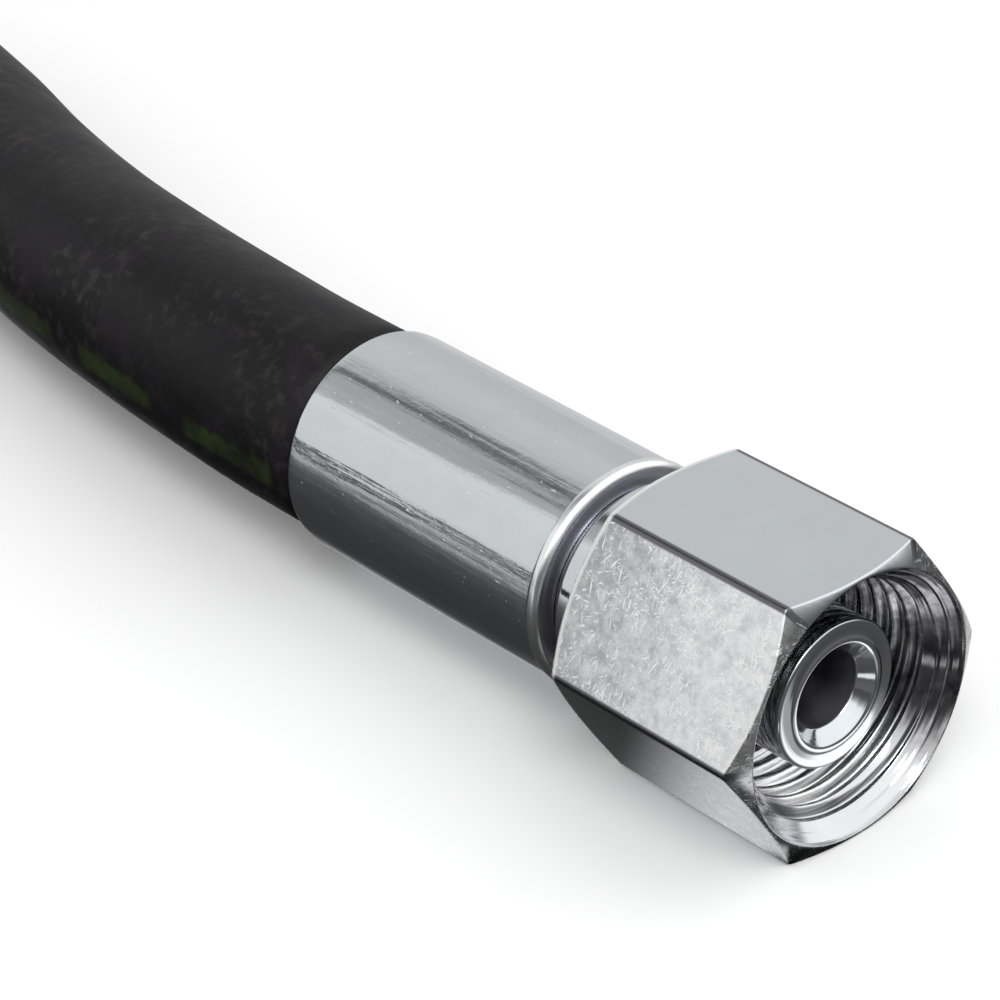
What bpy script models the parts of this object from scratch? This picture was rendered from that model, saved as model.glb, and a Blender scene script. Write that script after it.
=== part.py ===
"""A short length of low pressure hose with a crimped swivel nut fitting on each end.

The near fitting lies along X with its mouth at +X. The part's origin is on the floor, under the
middle of that fitting. The hose leaves it towards -X, settles on the floor and turns back in one
wide bend to the far fitting. Units are metres, and +Z is up.
"""

import math

import bmesh
import bpy
from mathutils import Matrix, Vector

# Swivel nut. Stations along a fitting are measured back from the plane of its mouth.
NUT_ACROSS_FLATS = 0.022
NUT_LENGTH = 0.020
NUT_CORNER_ROUND = 0.0005
FRONT_CHAMFER_RADIUS = 0.0117
FRONT_CHAMFER_ANGLE = math.radians(50)
BACK_CHAMFER_RADIUS = 0.0104
BACK_CHAMFER_ANGLE = math.radians(30)
MOUTH_RADIUS = 0.0107
COUNTERSINK_DEPTH = 0.0025
THREAD_INNER_RADIUS = 0.00875
NUT_BACK_WALL = 0.0035

# Nipple, the turned stem that the nut swivels on.
NOSE_SETBACK = 0.0022
NOSE_RADIUS = 0.0058
NOSE_ROUND = 0.0005
NOSE_TAPER = math.radians(2)
BORE_RADIUS = 0.0031
BORE_MOUTH_RADIUS = 0.0044
BORE_MOUTH_DEPTH = 0.0012
COLLAR_LENGTH = 0.0040
NECK_RADIUS = 0.0072
TAIL_RADIUS = 0.0044

# Ferrule, the sleeve crimped over the hose end.
NUT_TO_FERRULE = 0.0040
FERRULE_RADIUS = 0.00935
FERRULE_LENGTH = 0.0294
FERRULE_WALL = 0.00135
FERRULE_FLANGE = 0.0020
FERRULE_RIM_ROUND = 0.0006
FERRULE_LIP_CHAMFER = 0.0006

# Hose.
HOSE_RADIUS = 0.00875

# Clearances.
SWIVEL_CLEARANCE = 0.0002
PRESS_GAP = 0.0003

# What follows from the sizes above.
AXIS_HEIGHT = NUT_ACROSS_FLATS / 2
FERRULE_FRONT = -(NUT_LENGTH + NUT_TO_FERRULE)
FERRULE_BACK = FERRULE_FRONT - FERRULE_LENGTH
FITTING_LENGTH = -FERRULE_BACK
NEAR_MOUTH_X = FITTING_LENGTH / 2
HOSE_START_X = NEAR_MOUTH_X + FERRULE_BACK - PRESS_GAP

# Where the far fitting lies: the middle of its ferrule's open end, and the way its mouth points.
FAR_FERRULE_END = (-0.0955, -0.1572)
FAR_HEADING = 0.0

# The hose's route between its straight ends, chosen by hand: x, y and height of its centre line.
ROUTE_MIDDLE = [
    (-0.0420, 0.0002, 0.0110),
    (-0.0570, 0.0016, 0.0105),
    (-0.0720, 0.0039, 0.0097),
    (-0.0870, 0.0073, 0.0090),
    (-0.1010, 0.0110, 0.00875),
    (-0.1190, 0.0140, 0.00875),
    (-0.1380, 0.0131, 0.00875),
    (-0.1640, 0.0041, 0.00875),
    (-0.1857, -0.0128, 0.00875),
    (-0.2010, -0.0359, 0.00875),
    (-0.2080, -0.0633, 0.00875),
    (-0.2060, -0.0910, 0.00875),
    (-0.1947, -0.1168, 0.00875),
    (-0.1757, -0.1375, 0.00875),
    (-0.1518, -0.1511, 0.00875),
    (-0.1320, -0.1560, 0.0094),
    (-0.1160, -0.1571, 0.0105),
]
STRAIGHT_OUT = 0.010
HOSE_POINTS = 30
TURN_STEPS = 48


def clear_scene():
    for thing in list(bpy.data.objects):
        bpy.data.objects.remove(thing)


def make_material(name, colour, roughness, metallic):
    material = bpy.data.materials.new(name)
    material.use_nodes = True
    shader = material.node_tree.nodes["Principled BSDF"]
    shader.inputs["Base Color"].default_value = (*colour, 1)
    shader.inputs["Roughness"].default_value = roughness
    shader.inputs["Metallic"].default_value = metallic
    return material


def add_object(name, mesh, material, parent):
    thing = bpy.data.objects.new(name, mesh)
    bpy.context.scene.collection.objects.link(thing)
    thing.parent = parent
    if material:
        mesh.materials.append(material)
    return thing


def hide_tool(tool):
    tool.hide_render = True
    tool.display_type = "WIRE"


def turned_mesh(name, outline, steps=TURN_STEPS):
    """A closed outline of (station, radius) points, turned about the X axis."""
    form = bmesh.new()
    corners = [form.verts.new((x, 0, radius)) for x, radius in outline]
    edges = [form.edges.new(pair) for pair in zip(corners, corners[1:] + corners[:1])]
    bmesh.ops.spin(
        form, geom=corners + edges, cent=(0, 0, 0), axis=(1, 0, 0),
        angle=2 * math.pi, steps=steps, use_merge=True,
    )
    bmesh.ops.remove_doubles(form, verts=form.verts, dist=1e-6)
    bmesh.ops.dissolve_degenerate(form, edges=form.edges, dist=1e-6)
    bmesh.ops.recalc_face_normals(form, faces=form.faces)
    mesh = bpy.data.meshes.new(name)
    form.to_mesh(mesh)
    form.free()
    mesh.shade_smooth()
    mesh.set_sharp_from_angle(angle=math.radians(30))
    return mesh


def rounded(centre_x, centre_r, radius, start_deg, end_deg, count=4):
    """Points of a quarter round in an outline, from one angle to another."""
    step = (end_deg - start_deg) / (count - 1)
    angles = [math.radians(start_deg + step * i) for i in range(count)]
    return [(centre_x + radius * math.cos(a), centre_r + radius * math.sin(a)) for a in angles]


def hexagon_mesh(name):
    """A bar of hexagon stock as long as the nut, one flat down, with softened corners."""
    form = bmesh.new()
    corner = NUT_ACROSS_FLATS / math.sqrt(3)
    ring = [
        form.verts.new((0, corner * math.cos(math.radians(60 * k)), corner * math.sin(math.radians(60 * k))))
        for k in range(6)
    ]
    face = form.faces.new(ring)
    pulled = bmesh.ops.extrude_face_region(form, geom=[face])["geom"]
    moved = [v for v in pulled if isinstance(v, bmesh.types.BMVert)]
    bmesh.ops.translate(form, verts=moved, vec=(-NUT_LENGTH, 0, 0))
    long_edges = [e for e in form.edges if abs(e.verts[0].co.x - e.verts[1].co.x) > NUT_LENGTH / 2]
    bmesh.ops.bevel(
        form, geom=long_edges, offset=NUT_CORNER_ROUND, segments=2, profile=0.5, affect="EDGES",
    )
    bmesh.ops.recalc_face_normals(form, faces=form.faces)
    mesh = bpy.data.meshes.new(name)
    form.to_mesh(mesh)
    form.free()
    return mesh


def nut_blank_outline():
    """The turned outer form that clips the hexagon's corners at both ends."""
    reach = NUT_ACROSS_FLATS
    front_drop = (reach - FRONT_CHAMFER_RADIUS) * math.tan(FRONT_CHAMFER_ANGLE)
    back_drop = (reach - BACK_CHAMFER_RADIUS) * math.tan(BACK_CHAMFER_ANGLE)
    return [
        (0, 0), (0, FRONT_CHAMFER_RADIUS), (-front_drop, reach),
        (-NUT_LENGTH + back_drop, reach), (-NUT_LENGTH, BACK_CHAMFER_RADIUS), (-NUT_LENGTH, 0),
    ]


def nut_bore_outline():
    """What is bored out of the nut: countersink, thread, and the hole its back wall keeps."""
    past_end = 0.001
    flare = (MOUTH_RADIUS - THREAD_INNER_RADIUS) / COUNTERSINK_DEPTH
    shelf = -(NUT_LENGTH - NUT_BACK_WALL)
    back_hole = NECK_RADIUS + SWIVEL_CLEARANCE
    return [
        (past_end, 0), (past_end, MOUTH_RADIUS + flare * past_end),
        (-COUNTERSINK_DEPTH, THREAD_INNER_RADIUS), (shelf, THREAD_INNER_RADIUS), (shelf, back_hole),
        (-NUT_LENGTH - past_end, back_hole), (-NUT_LENGTH - past_end, 0),
    ]


def make_nut(tag, parent, steel):
    nut = add_object(f"nut_{tag}", hexagon_mesh(f"nut_{tag}"), steel, parent)
    blank = add_object(f"nut_blank_{tag}", turned_mesh(f"nut_blank_{tag}", nut_blank_outline()), None, parent)
    bore = add_object(f"nut_bore_{tag}", turned_mesh(f"nut_bore_{tag}", nut_bore_outline()), None, parent)
    for tool, operation in ((blank, "INTERSECT"), (bore, "DIFFERENCE")):
        hide_tool(tool)
        cut = nut.modifiers.new(tool.name, "BOOLEAN")
        cut.operation = operation
        cut.object = tool
    return nut


def nipple_outline():
    """Nose, retaining collar, neck and tail round a straight bore."""
    collar_radius = THREAD_INNER_RADIUS - SWIVEL_CLEARANCE
    collar_back = -(NUT_LENGTH - NUT_BACK_WALL) + SWIVEL_CLEARANCE
    collar_front = collar_back + COLLAR_LENGTH
    nose_end_r = NOSE_RADIUS + (-NOSE_SETBACK - collar_front) * math.tan(NOSE_TAPER)
    nose = rounded(-NOSE_SETBACK - NOSE_ROUND, NOSE_RADIUS - NOSE_ROUND, NOSE_ROUND, 0, 90)
    neck_end = FERRULE_FRONT - FERRULE_FLANGE - PRESS_GAP
    return [
        (-NOSE_SETBACK - BORE_MOUTH_DEPTH, BORE_RADIUS), (-NOSE_SETBACK, BORE_MOUTH_RADIUS),
        *nose, (collar_front, nose_end_r),
        (collar_front, collar_radius), (collar_back, collar_radius), (collar_back, NECK_RADIUS),
        (neck_end, NECK_RADIUS), (neck_end, TAIL_RADIUS),
        (FERRULE_BACK, TAIL_RADIUS), (FERRULE_BACK, BORE_RADIUS),
    ]


def ferrule_outline():
    """A sleeve with a rolled rim and an inward flange at the nut, and a chamfered lip at the hose."""
    inner = FERRULE_RADIUS - FERRULE_WALL
    hole = NECK_RADIUS + PRESS_GAP
    rim = rounded(FERRULE_FRONT - FERRULE_RIM_ROUND, FERRULE_RADIUS - FERRULE_RIM_ROUND, FERRULE_RIM_ROUND, 0, 90)
    return [
        (FERRULE_FRONT, hole), *rim,
        (FERRULE_BACK + FERRULE_LIP_CHAMFER, FERRULE_RADIUS),
        (FERRULE_BACK, FERRULE_RADIUS - FERRULE_LIP_CHAMFER),
        (FERRULE_BACK, inner), (FERRULE_FRONT - FERRULE_FLANGE, inner), (FERRULE_FRONT - FERRULE_FLANGE, hole),
    ]


def hose_end_outline():
    """The end of the hose that is squeezed between the ferrule and the nipple's tail."""
    front = FERRULE_FRONT - FERRULE_FLANGE - 2 * PRESS_GAP
    outer = FERRULE_RADIUS - FERRULE_WALL - PRESS_GAP
    inner = TAIL_RADIUS + PRESS_GAP
    return [(front, inner), (front, outer), (FERRULE_BACK, outer), (FERRULE_BACK, inner)]


def make_fitting(tag, mouth, heading, steel, rubber):
    """One complete hose end, with its mouth centre at the given place and its axis level."""
    frame = bpy.data.objects.new(f"fitting_axis_{tag}", None)
    bpy.context.scene.collection.objects.link(frame)
    frame.matrix_world = Matrix.Translation(mouth) @ Matrix.Rotation(heading, 4, "Z")
    make_nut(tag, frame, steel)
    for piece, outline, material in (
        ("nipple", nipple_outline(), steel),
        ("ferrule", ferrule_outline(), steel),
        ("hose_end", hose_end_outline(), rubber),
    ):
        name = f"{piece}_{tag}"
        add_object(name, turned_mesh(name, outline), material, frame)


def smooth_route(route, count):
    """Points at even distances along a smooth curve through the route's points."""
    dense = []
    spans = 24
    last = len(route) - 1
    for i in range(last):
        before, here, there, after = (route[max(0, min(last, k))] for k in (i - 1, i, i + 1, i + 2))
        gap = (there - here).length
        leave = (there - before) * (gap / ((there - here).length + (here - before).length))
        arrive = (after - here) * (gap / ((after - there).length + (there - here).length))
        for step in range(spans + (i == last - 1)):
            t = step / spans
            dense.append(
                here * (2 * t**3 - 3 * t**2 + 1) + leave * (t**3 - 2 * t**2 + t)
                + there * (3 * t**2 - 2 * t**3) + arrive * (t**3 - t**2)
            )
    run = [0.0]
    for a, b in zip(dense, dense[1:]):
        run.append(run[-1] + (b - a).length)
    points = []
    k = 0
    for n in range(count):
        wanted = run[-1] * n / (count - 1)
        while k < len(run) - 2 and run[k + 1] < wanted:
            k += 1
        share = (wanted - run[k]) / (run[k + 1] - run[k])
        point = dense[k].lerp(dense[k + 1], share)
        point.z = max(point.z, HOSE_RADIUS)
        points.append(point)
    return points, run[-1]


def make_hose(rubber, far_end, far_axis):
    start = Vector((HOSE_START_X, 0, AXIS_HEIGHT))
    out = Vector((-STRAIGHT_OUT, 0, 0))
    route = [start, start + out]
    route += [Vector(point) for point in ROUTE_MIDDLE]
    route += [far_end - far_axis * STRAIGHT_OUT, far_end]
    points, length = smooth_route(route, HOSE_POINTS)
    data = bpy.data.curves.new("hose", "CURVE")
    data.dimensions = "3D"
    data.bevel_depth = HOSE_RADIUS
    data.bevel_resolution = 4
    data.use_fill_caps = True
    spline = data.splines.new("POLY")
    spline.points.add(len(points) - 1)
    for slot, point in zip(spline.points, points):
        slot.co = (*point, 1)
    add_object("hose", data, rubber, None)
    print(f"hose between its ferrules: {length * 1000:.1f} mm")


def main():
    clear_scene()
    steel = make_material("zinc_plated_steel", (0.72, 0.73, 0.74), 0.22, 1.0)
    rubber = make_material("black_rubber", (0.012, 0.011, 0.013), 0.55, 0.0)
    far_axis = Vector((math.cos(FAR_HEADING), math.sin(FAR_HEADING), 0))
    far_ferrule = Vector((*FAR_FERRULE_END, AXIS_HEIGHT))
    make_fitting("near", Vector((NEAR_MOUTH_X, 0, AXIS_HEIGHT)), 0, steel, rubber)
    make_fitting("far", far_ferrule + far_axis * FITTING_LENGTH, FAR_HEADING, steel, rubber)
    make_hose(rubber, far_ferrule - far_axis * PRESS_GAP, far_axis)


main()
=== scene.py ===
# %% [markdown]
# A low pressure hose with a crimped swivel nut fitting on each end.
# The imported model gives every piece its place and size, in metres, with +Z up. The near
# fitting lies along X with its mouth at +X, and the floor is at height 0. This lesson dresses
# that model: the hose, the ferrules, the nipples and the threaded nuts each get a fine mesh
# and a finish of their own.

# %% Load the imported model
import math

import bmesh
import bpy
from mathutils import Matrix, Vector


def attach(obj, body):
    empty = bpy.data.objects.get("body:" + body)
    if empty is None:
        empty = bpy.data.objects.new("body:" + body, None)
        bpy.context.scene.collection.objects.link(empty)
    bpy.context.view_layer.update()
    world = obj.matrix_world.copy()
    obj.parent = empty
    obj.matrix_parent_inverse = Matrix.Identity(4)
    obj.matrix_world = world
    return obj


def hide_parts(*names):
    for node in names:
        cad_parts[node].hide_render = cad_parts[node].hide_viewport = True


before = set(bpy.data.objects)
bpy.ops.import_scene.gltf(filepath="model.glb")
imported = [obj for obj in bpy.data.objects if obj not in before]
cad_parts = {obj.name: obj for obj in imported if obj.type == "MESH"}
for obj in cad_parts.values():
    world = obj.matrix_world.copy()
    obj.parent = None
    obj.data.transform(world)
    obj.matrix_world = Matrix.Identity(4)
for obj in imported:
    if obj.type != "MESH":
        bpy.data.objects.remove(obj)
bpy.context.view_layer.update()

# %% [markdown]
# The camera stands in front of the near fitting, to its right and above it, and looks down
# at about 32 degrees. It is placed by three directions, because a camera that is rolled a
# few degrees is easier to state that way than with angles.

# %% Camera
CAMERA_PLACE = Vector((0.17766, -0.15719, 0.16509))
CAMERA_RIGHT = Vector((0.66234, 0.74741, -0.05189))
CAMERA_DOWN = Vector((0.36713, -0.38415, -0.84714))
CAMERA_AWAY = Vector((-0.65309, 0.54204, -0.52883))

camera = bpy.data.objects.new("camera", bpy.data.cameras.new("camera"))
bpy.context.scene.collection.objects.link(camera)
camera.data.sensor_width = 36
camera.data.lens = 135.4
camera.data.clip_start = 0.01
turn = Matrix((CAMERA_RIGHT, -CAMERA_DOWN, -CAMERA_AWAY)).transposed().to_4x4()
camera.matrix_world = Matrix.Translation(CAMERA_PLACE) @ turn
bpy.context.scene.camera = camera
print("camera looks down", round(math.degrees(math.asin(-CAMERA_AWAY.z)), 1), "degrees")

# %% [markdown]
# Small helpers come before the finishes. Colours are written as sRGB hex values, the way a
# paint chart gives them, and one function turns them into the linear values that shaders
# use. Another adds one node with its settings and links, so that a finish reads as a list of
# steps instead of pages of node code.

# %% Colours
def colour(text):
    """A linear colour with alpha from an sRGB hex value such as 'c8cacc'."""
    values = [int(text[i:i + 2], 16) / 255 for i in (0, 2, 4)]
    return [v / 12.92 if v <= 0.04045 else ((v + 0.055) / 1.055) ** 2.4 for v in values] + [1.0]


def grey(value):
    """A neutral colour from one linear value, for masks and for the brightness of a light."""
    return (value, value, value, 1)


print("light zinc grey in linear values:", [round(v, 3) for v in colour("cdd2d5")[:3]])

# %% Nodes and blank materials
# settings that many nodes share
RGBA = {"data_type": "RGBA"}
MULTIPLY = {"operation": "MULTIPLY"}


def node(tree, kind, settings=None, stops=(), **links):
    """Adds a node. A link's value is a number, a colour or another node's output.

    A link is named for its socket, or i0, i1 and so on for a socket by its number.
    """
    made = tree.nodes.new(kind)
    for name, value in (settings or {}).items():
        setattr(made, name, value)
    for name, value in links.items():
        key = int(name[1:]) if name[0] == "i" and name[1:].isdigit() else name.replace("_", " ")
        socket = made.inputs[key]
        if isinstance(value, bpy.types.NodeSocket):
            tree.links.new(value, socket)
        else:
            socket.default_value = value
    for n, (place, shade) in enumerate(stops):
        marks = made.color_ramp.elements
        mark = marks[n] if n < 2 else marks.new(place)
        mark.position = place
        mark.color = shade
    return made


def blank_material(name):
    """A new material with only a Principled shader in it, and its node tree."""
    material = bpy.data.materials.new(name)
    material.use_nodes = True
    tree = material.node_tree
    return material, tree, tree.nodes["Principled BSDF"]


def dress(tree, shader, tint, rough, normal):
    """Joins a finish's colour, roughness and bump to its shader."""
    tree.links.new(tint, shader.inputs["Base Color"])
    tree.links.new(rough, shader.inputs["Roughness"])
    tree.links.new(normal, shader.inputs["Normal"])


# %% [markdown]
# The hose is one smooth tube. Its route leaves the ferrule straight, sinks to the floor and
# turns back in one wide bend to the far fitting. A tube built ring by ring keeps its
# roundness in the bend, and gets a map that measures millimetres along and around it, which
# the printed line needs.

# %% Where the hose runs
AXIS_HEIGHT = 0.011
NEAR_MOUTH = Vector((0.0267, 0, AXIS_HEIGHT))
FAR_MOUTH = Vector((-0.0421, -0.1572, AXIS_HEIGHT))
FITTING_LENGTH = 0.0534
PRESS_GAP = 0.0003
HOSE_RADIUS = 0.00875
HOSE_START = NEAR_MOUTH - Vector((FITTING_LENGTH + PRESS_GAP, 0, 0))
HOSE_FINISH = FAR_MOUTH - Vector((FITTING_LENGTH + PRESS_GAP, 0, 0))
# a crimped hose can't bend right at its ferrule
STRAIGHT_OUT = 0.010
ROUTE_MIDDLE = [
    (-0.0420, 0.0002, 0.0110), (-0.0570, 0.0016, 0.0105), (-0.0720, 0.0039, 0.0097),
    (-0.0870, 0.0073, 0.0090), (-0.1010, 0.0110, 0.00875), (-0.1190, 0.0140, 0.00875),
    (-0.1380, 0.0131, 0.00875), (-0.1640, 0.0041, 0.00875), (-0.1857, -0.0128, 0.00875),
    (-0.2010, -0.0359, 0.00875), (-0.2080, -0.0633, 0.00875), (-0.2060, -0.0910, 0.00875),
    (-0.1947, -0.1168, 0.00875), (-0.1757, -0.1375, 0.00875), (-0.1518, -0.1511, 0.00875),
    (-0.1320, -0.1560, 0.0094), (-0.1160, -0.1571, 0.0105),
]
print("the route has", len(ROUTE_MIDDLE), "points between its straight ends")

# %% [markdown]
# The route needs a curve that passes through every point. A cubic between each pair of points,
# with its directions taken from their neighbours, does that and has no kinks. Walking along it
# at even steps keeps the rings of the tube evenly spaced.

# %% A smooth route
def smooth_route(route, count):
    """Points at even distances along a smooth curve through the route's points."""
    dense = []
    spans = 24
    last = len(route) - 1
    for i in range(last):
        before, here, there, after = (route[max(0, min(last, k))] for k in (i - 1, i, i + 1, i + 2))
        gap = (there - here).length
        leave = (there - before) * (gap / ((there - here).length + (here - before).length))
        arrive = (after - here) * (gap / ((after - there).length + (there - here).length))
        for step in range(spans + (i == last - 1)):
            t = step / spans
            dense.append(
                here * (2 * t**3 - 3 * t**2 + 1) + leave * (t**3 - 2 * t**2 + t)
                + there * (3 * t**2 - 2 * t**3) + arrive * (t**3 - t**2)
            )
    run = [0.0]
    for a, b in zip(dense, dense[1:]):
        run.append(run[-1] + (b - a).length)
    points = []
    k = 0
    for n in range(count):
        wanted = run[-1] * n / (count - 1)
        while k < len(run) - 2 and run[k + 1] < wanted:
            k += 1
        share = (wanted - run[k]) / (run[k + 1] - run[k])
        point = dense[k].lerp(dense[k + 1], share)
        point.z = max(point.z, HOSE_RADIUS)
        points.append(point)
    return points, run[-1]


hose_route = [HOSE_START, HOSE_START - Vector((STRAIGHT_OUT, 0, 0))]
hose_route += [Vector(p) for p in ROUTE_MIDDLE]
hose_route += [HOSE_FINISH - Vector((STRAIGHT_OUT, 0, 0)), HOSE_FINISH]
HOSE_LENGTH = smooth_route(hose_route, 30)[1]
print("hose between its ferrules:", round(HOSE_LENGTH * 1000, 1), "mm")

# %% [markdown]
# Every piece here is one skin of rows of points. Two helpers turn such rows into a mesh: one
# joins them with faces and gives each face its place on the map, the other puts the result in
# the scene with its materials.

# %% From rows of points to a mesh
def add_mesh(name, form, *materials):
    """Puts a finished bmesh into the scene as an object with its materials."""
    mesh = bpy.data.meshes.new(name)
    form.to_mesh(mesh)
    form.free()
    mesh.shade_smooth()
    for material in materials:
        mesh.materials.append(material)
    thing = bpy.data.objects.new(name, mesh)
    bpy.context.scene.collection.objects.link(thing)
    return thing


def grid_faces(form, rows, uv_of, close_ends=False, slot_of_row=None):
    """Joins rows of points into a skin that closes on itself, with a UV for each corner."""
    layer = form.loops.layers.uv.new("along_around")
    sides = len(rows[0])
    for i in range(len(rows) - 1):
        for k in range(sides):
            n = (k + 1) % sides
            face = form.faces.new((rows[i][k], rows[i][n], rows[i + 1][n], rows[i + 1][k]))
            face.smooth = True
            face.material_index = slot_of_row(i) if slot_of_row else 0
            corners = ((i, k), (i, k + 1), (i + 1, k + 1), (i + 1, k))
            for loop, (row, column) in zip(face.loops, corners):
                loop[layer].uv = uv_of(row, column)
    if close_ends:
        form.faces.new(list(reversed(rows[0])))
        form.faces.new(rows[-1])


# %% Hose tube
HOSE_RINGS = 260
HOSE_SIDES = 64
# the ferrule squeezes the hose, which narrows it over the last 1.6 mm
LIP_TUCK = 0.0007
TUCK_LENGTH = 0.0016


def make_hose_tube(material):
    points, length = smooth_route(hose_route, HOSE_RINGS)
    form = bmesh.new()
    rows = []
    side = Vector((0, 1, 0))
    step = length / (HOSE_RINGS - 1)
    for i, point in enumerate(points):
        ahead = (points[min(i + 1, HOSE_RINGS - 1)] - points[max(i - 1, 0)]).normalized()
        side = (side - ahead * side.dot(ahead)).normalized()
        up = ahead.cross(side)
        from_end = min(i, HOSE_RINGS - 1 - i) * step
        tuck = LIP_TUCK * max(0.0, 1 - from_end / TUCK_LENGTH) ** 2
        radius = HOSE_RADIUS - tuck
        ring = []
        for k in range(HOSE_SIDES):
            a = 2 * math.pi * k / HOSE_SIDES
            out = side * (radius * math.cos(a)) + up * (radius * math.sin(a))
            ring.append(form.verts.new(point + out))
        rows.append(ring)
    round_mm = 2 * math.pi * HOSE_RADIUS * 1000
    grid_faces(form, rows, lambda i, k: (i * step * 1000, k / HOSE_SIDES * round_mm), close_ends=True)
    bmesh.ops.recalc_face_normals(form, faces=form.faces)
    return add_mesh("hose_tube", form, material)


# %% [markdown]
# The cover of such a hose is black synthetic rubber, extruded and cured, often wrapped in
# cloth while it cures. That leaves a dull skin with a faint soft unevenness, a little pale
# dust in it, and no clear highlights. The lay line is printed along it in green, as a plain
# broken line that shows whether the hose was twisted when it was fitted. Noise in real
# millimetres gives the dust and the grain without any picture file.

# %% Black rubber, extruded and cured
def cured_rubber(name):
    """Black rubber. Returns the material, its tree, the shader and the outputs a print needs."""
    material, tree, shader = blank_material(name)
    place = node(tree, "ShaderNodeTexCoord").outputs["Object"]
    # soft cloudy unevenness, patches of about 6 mm
    cloud = node(tree, "ShaderNodeTexNoise", Vector=place, Scale=160.0, Detail=4.0,
                 Roughness=0.55).outputs["Fac"]
    skin = node(tree, "ShaderNodeValToRGB", i0=cloud, stops=[
        (0.30, colour("070508")), (0.52, colour("0c090d")), (0.75, colour("19141b"))]).outputs[0]
    # pale dust: soft dabs of about 1 mm, gathered in patches of about 10 mm
    dabs = node(tree, "ShaderNodeTexNoise", Vector=place, Scale=780.0, Detail=2.5,
                Roughness=0.6).outputs["Fac"]
    dabs = node(tree, "ShaderNodeMapRange", i0=dabs, i1=0.50, i2=0.82).outputs[0]
    patch = node(tree, "ShaderNodeTexNoise", Vector=place, Scale=100.0, Detail=2.0).outputs["Fac"]
    patch = node(tree, "ShaderNodeMapRange", i0=patch, i1=0.44, i2=0.66, i3=0.12, i4=1.0).outputs[0]
    dust = node(tree, "ShaderNodeMath", MULTIPLY, i0=dabs, i1=patch).outputs[0]
    dust = node(tree, "ShaderNodeMath", MULTIPLY, i0=dust, i1=0.12).outputs[0]
    skin = node(tree, "ShaderNodeMix", RGBA, i0=dust, i6=skin, i7=colour("8c8880")).outputs[2]
    rough = node(tree, "ShaderNodeMapRange", i0=cloud, i1=0.3, i2=0.7, i3=0.44, i4=0.58).outputs[0]
    # grain of 0.7 mm, coarser than the real 0.2 mm, which wouldn't show from here
    grain = node(tree, "ShaderNodeTexNoise", Vector=place, Scale=1500.0, Detail=3.0,
                 Roughness=0.6).outputs["Fac"]
    soft = node(tree, "ShaderNodeBump", Strength=0.25, Distance=0.0006, Height=cloud).outputs["Normal"]
    bump = node(tree, "ShaderNodeBump", Strength=0.22, Distance=0.00012, Height=grain,
                Normal=soft).outputs["Normal"]
    dress(tree, shader, skin, rough, bump)
    shader.inputs["IOR"].default_value = 1.52
    shader.inputs["Specular IOR Level"].default_value = 0.22
    return material, tree, shader, skin, cloud


rubber_plain = cured_rubber("black_rubber_cut_end")[0]
print("cut rubber:", len(rubber_plain.node_tree.nodes), "nodes")

# %% Printed lay line, in millimetres round and along the hose
LAY_LINE_AT = 26.6
LAY_LINE_HALF = 1.1
LAY_DASH = 16.0

rubber_cover, tree, shader, skin, cloud = cured_rubber("black_rubber_extruded_cured")
uv = node(tree, "ShaderNodeUVMap", {"uv_map": "along_around"}).outputs["UV"]
place = node(tree, "ShaderNodeTexCoord").outputs["Object"]
parts = node(tree, "ShaderNodeSeparateXYZ", Vector=uv)
# the print's edges waver, because ink runs on a cloth-wrapped skin
wobble = node(tree, "ShaderNodeTexNoise", Vector=place, Scale=900.0, Detail=2.0).outputs["Fac"]
off = node(tree, "ShaderNodeMath", {"operation": "SUBTRACT"}, i0=parts.outputs["Y"],
           i1=LAY_LINE_AT).outputs[0]
off = node(tree, "ShaderNodeMath", {"operation": "ABSOLUTE"}, i0=off).outputs[0]
off = node(tree, "ShaderNodeMath", {"operation": "MULTIPLY_ADD"}, i0=wobble, i1=1.1, i2=off).outputs[0]
across = node(tree, "ShaderNodeMapRange", i0=off, i1=LAY_LINE_HALF + 0.15, i2=LAY_LINE_HALF + 0.85,
              i3=1.0, i4=0.0).outputs[0]
along = node(tree, "ShaderNodeMath", {"operation": "PINGPONG"}, i0=parts.outputs["X"],
             i1=LAY_DASH / 2).outputs[0]
along = node(tree, "ShaderNodeMapRange", i0=along, i1=2.1, i2=2.9).outputs[0]
worn = node(tree, "ShaderNodeMapRange", i0=cloud, i1=0.34, i2=0.60, i3=0.15, i4=0.90).outputs[0]
ink = node(tree, "ShaderNodeMath", MULTIPLY, i0=across, i1=along).outputs[0]
ink = node(tree, "ShaderNodeMath", MULTIPLY, i0=ink, i1=worn).outputs[0]
skin = node(tree, "ShaderNodeMix", RGBA, i0=ink, i6=skin, i7=colour("263611")).outputs[2]
tree.links.new(skin, shader.inputs["Base Color"])

hose_tube = make_hose_tube(rubber_cover)
print("hose skin:", len(hose_tube.data.polygons), "faces")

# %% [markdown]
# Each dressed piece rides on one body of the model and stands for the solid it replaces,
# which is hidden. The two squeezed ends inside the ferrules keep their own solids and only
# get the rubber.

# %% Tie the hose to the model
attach(hose_tube, "hose_line")
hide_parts("hose")
for name in ("hose_end_near", "hose_end_far"):
    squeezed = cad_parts[name]
    squeezed.data.materials.clear()
    squeezed.data.materials.append(rubber_plain)
print("squeezed ends dressed in", rubber_plain.name)

# %% [markdown]
# The steel pieces are turned or drawn, then zinc plated bright. The plating is close to a
# mirror, so nearly all of its look is what it reflects. What breaks the mirror is small:
# a soft unevenness left by drawing or turning, nicks from being tumbled in a drum with other
# pieces, and fine specks. Metal keeps the default IOR, and its colour is a light neutral grey.
# All the steel finishes start from one recipe, and each adds the marks of its own making.

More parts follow.
